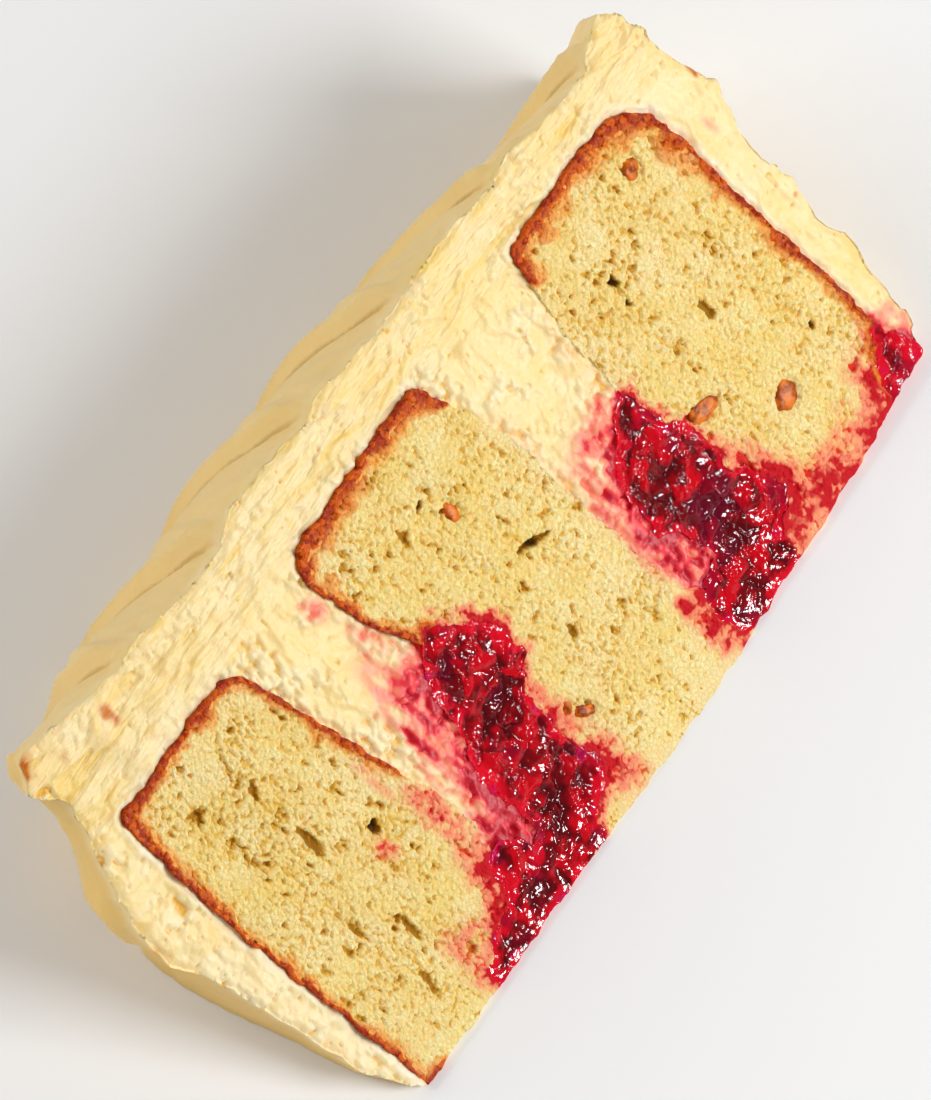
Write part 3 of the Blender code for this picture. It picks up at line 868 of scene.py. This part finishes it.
def sponge_material():
    n = Nodes("sponge")
    names = ("tone", "pore", "crust", "soaked", "baked")
    tone, pore, crust_here, soaked_here, baked = (n.attribute(name) for name in names)
    inwards = n.granules(0.95, 0.7)
    # Painted shade along the edges of the crumb's granules.
    crease_shade = n.maths("SUBTRACT", 1.0, n.between(inwards, 0.0, 0.16))
    soaked = n.mix(n.between(pore, 0.1, 0.8), rgb(255, 150, 112), rgb(232, 52, 40))
    crumb = n.tinted(
        n.mix(tone, rgb(252, 219, 130), rgb(255, 238, 168)),
        (rgb(255, 238, 190), n.attribute("pale"), 0.45),
        (rgb(244, 208, 96), n.between(n.noise(10, 2), 0.4, 0.65), 0.35),
        (rgb(255, 242, 204), n.between(n.noise(0.45, 2, 0.6), 0.5, 0.72), 0.35),
        (rgb(255, 226, 170), n.attribute("creamy"), 0.55),
        # Painted shade: darker yellow at the granules' edges and in the pores, darkest in the deepest pores.
        (rgb(232, 184, 66), crease_shade, 0.35),
        (rgb(234, 186, 68), n.between(pore, 0.15, 0.85)),
        (rgb(184, 130, 26), n.between(pore, 0.6, 1.0)),
        (soaked, n.between(soaked_here, 0.08, 0.6)),
        (rgb(206, 8, 26), n.between(soaked_here, 0.6, 0.95)),
    )
    bronze = n.mix(n.between(tone, 0.1, 0.8), rgb(214, 86, 0), rgb(252, 162, 44))
    deep = n.mix(n.between(tone, 0.2, 0.9), rgb(172, 40, 0), rgb(242, 110, 4))
    crust = n.tinted(
        n.mix(n.between(baked, 0.5, 1.0), bronze, deep),
        # Painted highlights: small light orange glints on the crust.
        (rgb(255, 176, 76), n.between(n.noise(0.8, 2), 0.56, 0.7), 0.35),
        # Painted shade in the creases between the crust's chunks.
        (rgb(138, 32, 0), n.between(pore, 0.35, 1.0)),
        (rgb(150, 34, 0), n.between(baked, 0.84, 1.0), 0.35),
    )
    depth = n.maths("ADD", 0.4, n.maths("MULTIPLY", n.between(baked, 0.5, 0.9), 0.7))
    toasted = n.tinted(crumb, (rgb(247, 156, 54), n.between(baked, 0.0, 0.7), 0.7))
    crusted = n.mix(n.maths("MULTIPLY", n.between(crust_here, 0.25, 0.8), depth), toasted, crust)
    # Painted shade inside the holes.
    colour = n.tinted(crusted, (rgb(56, 30, 6), n.attribute("dark")))
    rough = n.maths("SUBTRACT", 0.7, n.maths("MULTIPLY", crust_here, 0.3))
    bump = n.bump(n.between(inwards, 0.0, 0.3), 0.09)
    bump = n.bump(n.noise(0.4, 3, 0.7), 0.09, bump)
    return n.food(colour, rough, bump, shine=0.15, glow=0.25, glow_mm=1.2)


def cream_material():
    n = Nodes("buttercream")
    broad, mid = n.noise(14, 3), n.noise(3.5, 3)
    pink = n.attribute("pink")
    drawn = n.streaks(1.5, 5)
    veins = n.maths("MULTIPLY", n.between(drawn, 0.56, 0.7), n.attribute("beside"))
    # How far onto the coat's sides: there the colour is partly painted shade and partly the coat's own tan.
    side = n.between(n.attribute("around"), 0.4, 5)
    part = n.maths("FRACT", n.attribute("climb"))
    # Painted shade: a darker line along each groove between the spatula's strokes.
    valley = n.maths("SUBTRACT", n.between(part, 0.835, 0.865), n.between(part, 0.865, 0.9))
    valley = n.maths("MULTIPLY", valley, n.attribute("on_side"))
    colour = n.tinted(
        n.mix(n.between(broad, 0.35, 0.65), rgb(253, 221, 148), rgb(255, 227, 168)),
        (rgb(249, 211, 106), n.between(mid, 0.5, 0.72), 0.45),
        (rgb(246, 206, 96), veins, 0.6),
        # The coat's sides: partly painted shade, partly the coat's own tan.
        (rgb(250, 212, 134), side, 0.75),
        # Painted shade on the coat's lower end.
        (rgb(248, 200, 98), n.attribute("under"), 0.7),
        (rgb(254, 238, 212), n.attribute("white"), 0.8),
        (rgb(255, 240, 200), n.attribute("chunky"), 0.55),
        # Peach stain beside the bare crumb, partly painted shade in the gaps between curds.
        (rgb(255, 188, 120), n.attribute("peach"), 0.8),
        # Painted shade in the cream's pits and in the gaps between its curds.
        (rgb(238, 186, 70), n.between(n.attribute("pits"), 0.1, 1.0)),
        # Painted shade: deeper yellow in the folds' hollows.
        (rgb(244, 206, 92), n.attribute("folds"), 0.55),
        # Painted shade in the grooves between the spatula's strokes.
        (rgb(214, 160, 66), valley, 0.75),
        (rgb(255, 142, 114), n.between(pink, 0.03, 0.42)),
        (rgb(240, 56, 70), n.between(pink, 0.45, 0.8)),
        (rgb(200, 8, 38), n.between(pink, 0.8, 1.0)),
        (rgb(212, 116, 8), n.between(n.attribute("browned"), 0.15, 0.9)),
    )
    bump = n.bump(n.noise(0.7, 3, 0.6), 0.05)
    bump = n.bump(n.maths("MULTIPLY", n.between(drawn, 0.3, 0.7), n.attribute("beside")), 0.28, bump)
    bump = n.bump(n.maths("SUBTRACT", 1.0, valley), 0.25, bump)
    bump = n.bump(n.noise(2.5, 3), 0.35, bump)
    return n.food(colour, 0.46, bump, shine=0.4, glow=0.25, glow_mm=2.5)


def jam_material():
    n = Nodes("raspberry_jam")
    tone, thin = n.attribute("tone"), n.attribute("thin")
    purple = n.maths("MULTIPLY", n.between(n.noise(9, 2), 0.5, 0.62), 0.55)
    colour = n.tinted(
        n.mix(n.between(tone, 0.2, 0.9), rgb(116, 0, 8), rgb(204, 0, 22)),
        # Painted shade in the jam's hollows.
        (rgb(84, 0, 8), n.attribute("deep"), 0.85),
        (rgb(226, 8, 36), n.between(thin, 0.1, 0.95), 0.9),
        (rgb(200, 14, 84), n.between(n.noise(5, 2), 0.56, 0.7), thin),
        (rgb(112, 0, 40), purple),
    )
    bump = n.bump(n.noise(1.4, 2), 0.14)
    bump = n.bump(n.noise(3.0, 1), 0.5, bump)
    return n.food(colour, 0.1, bump, shine=0.18, glow=0.1, glow_mm=1.5)


def nut_material():
    n = Nodes("nut")
    colour = n.mix(n.between(n.noise(2.2, 3), 0.4, 0.62), rgb(150, 58, 6), rgb(230, 124, 26))
    bump = n.bump(n.noise(0.8, 3, 0.6), 0.15)
    return n.food(colour, 0.35, bump, shine=0.2, glow=0.2, glow_mm=1.0)


# ---------------------------------------------------------------- the scene


def add_foods():
    crumb, cream, jam = crumb_maps(), cream_maps(), jam_maps()
    looks = {}
    looks.update(dict.fromkeys(SPONGES, (crumb, SPONGE_SPACING, sponge_material())))
    looks.update(dict.fromkeys(JAMS, (jam, JAM_SPACING, jam_material())))
    looks[CREAM] = (cream, CREAM_SPACING, cream_material())
    for food, (maps, spacing, look) in looks.items():
        piece = food_solid(f"{food}_dressed", REGION[food], spacing, maps)
        piece.data.materials.append(look)
        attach(piece, "root")
        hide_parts(food)
        print(food, len(piece.data.polygons), "faces")


def add_nuts():
    """Pieces of nut that the knife went past, sunk into the crumb."""
    look = nut_material()
    outwards = np.array([-math.cos(SLICE_ANGLE), 0, math.sin(SLICE_ANGLE)])
    upwards = np.array([0.0, 1.0, 0.0])
    for number, (rho, height, long, wide, lean, stands) in enumerate(NUTS):
        c, s = math.cos(math.radians(lean)), math.sin(math.radians(lean))
        along, across = c * outwards + s * upwards, c * upwards - s * outwards
        bm = bmesh.new()
        bmesh.ops.create_icosphere(bm, subdivisions=4, radius=1.0)
        unit = np.array([vertex.co for vertex in bm.verts])
        knobbly = 1 + 0.16 * noise(unit[:, 0] * 2 + 7 * number, unit[:, 1] * 2 + unit[:, 2], 111)
        unit = np.sign(unit) * np.abs(unit) ** 0.9 * knobbly[:, None]
        centre = place(rho, height, SLICE_ANGLE) + CUT_NORMAL * (stands - NUT_DEPTH)
        points = centre + (
            np.outer(unit[:, 0], along) * long / 2
            + np.outer(unit[:, 1], across) * wide / 2
            + np.outer(unit[:, 2], CUT_NORMAL) * NUT_DEPTH
        )
        for vertex, point in zip(bm.verts, points):
            vertex.co = point * MM
        mesh = bpy.data.meshes.new(f"nut_{number + 1}")
        bm.to_mesh(mesh)
        bm.free()
        mesh.shade_smooth()
        mesh.materials.append(look)
        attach(add_object(mesh.name, mesh), "root")


# The photograph's view: the point of the cut face at its middle, where it is seen from, how far it is rolled,
# how many of its pixels a millimetre takes and how wide it is.
AIM = (51.0, 72.0)
VIEW_FROM = Vector((0.149, -0.209, 0.967)).normalized()
VIEW_ROLL = math.radians(-1.0)
PIXELS_PER_MM, IMAGE_WIDTH = 6.13, 931
CAMERA_AWAY = 1.3
# Each lamp's name, direction from the slice, distance and size in metres, watts and whether it only glints.
LAMPS = [
    ("key", (0.675, 0.32, 0.67), 1.0, 0.4, 7.0, False),
    ("glint", (0.9, 0.2, 0.5), 0.8, 0.12, 5.6, True),
    ("glint_high", (0.55, 0.75, 0.75), 0.8, 0.1, 4.2, True),
    ("side_fill", (-0.85, -0.35, 0.6), 1.2, 0.8, 5.6, False),
]
LAMP_TARGET = Vector((0, 0, 0.03))
SKY_STRENGTH = 0.32
FLOOR_REACH = 4  # metres, each way


def look_from(obj, position, target, roll=0.0):
    back = (position - target).normalized()
    right = Vector((0, 0, 1)).cross(back).normalized()
    turned = Matrix((right, back.cross(right), back)).transposed() @ Matrix.Rotation(roll, 3, "Z")
    obj.matrix_world = Matrix.Translation(position) @ turned.to_4x4()


def add_camera():
    camera = bpy.data.cameras.new("camera")
    camera.sensor_fit = "HORIZONTAL"
    camera.lens = camera.sensor_width * CAMERA_AWAY / (IMAGE_WIDTH / PIXELS_PER_MM * MM)
    camera.clip_start = 0.05
    obj = add_object("camera", camera)
    target = Vector(place(*AIM, SLICE_ANGLE) * MM)
    look_from(obj, target + CAMERA_AWAY * VIEW_FROM, target, VIEW_ROLL)
    bpy.context.scene.camera = obj


def add_light(name, direction, away, size, watts, glints):
    """An area lamp, that either lights surfaces or only glints in the glossy ones."""
    light = bpy.data.lights.new(name, "AREA")
    light.size = size
    light.energy = watts
    obj = add_object(name, light)
    obj.visible_glossy, obj.visible_diffuse = glints, not glints
    look_from(obj, LAMP_TARGET + Vector(direction).normalized() * away, LAMP_TARGET)


def add_studio():
    """A pale floor and soft light that falls on the cut face, with small lamps for the jam's glints."""
    floor = bpy.data.meshes.new("floor")
    corners = [(x * FLOOR_REACH, y * FLOOR_REACH, 0) for x, y in ((-1, -1), (1, -1), (1, 1), (-1, 1))]
    floor.from_pydata(corners, [], [(0, 1, 2, 3)])
    floor.materials.append(Nodes("floor").finish({"Base Color": (0.9, 0.9, 0.9, 1), "Roughness": 0.8}))
    add_object("floor", floor)
    world = bpy.data.worlds.new("world")
    bpy.context.scene.world = world
    world.use_nodes = True
    background = world.node_tree.nodes["Background"]
    background.inputs["Color"].default_value = (1, 1, 1, 1)
    background.inputs["Strength"].default_value = SKY_STRENGTH
    for lamp in LAMPS:
        add_light(*lamp)
    bpy.context.scene.view_settings.view_transform = "Standard"


add_foods()
add_nuts()
add_camera()
add_studio()
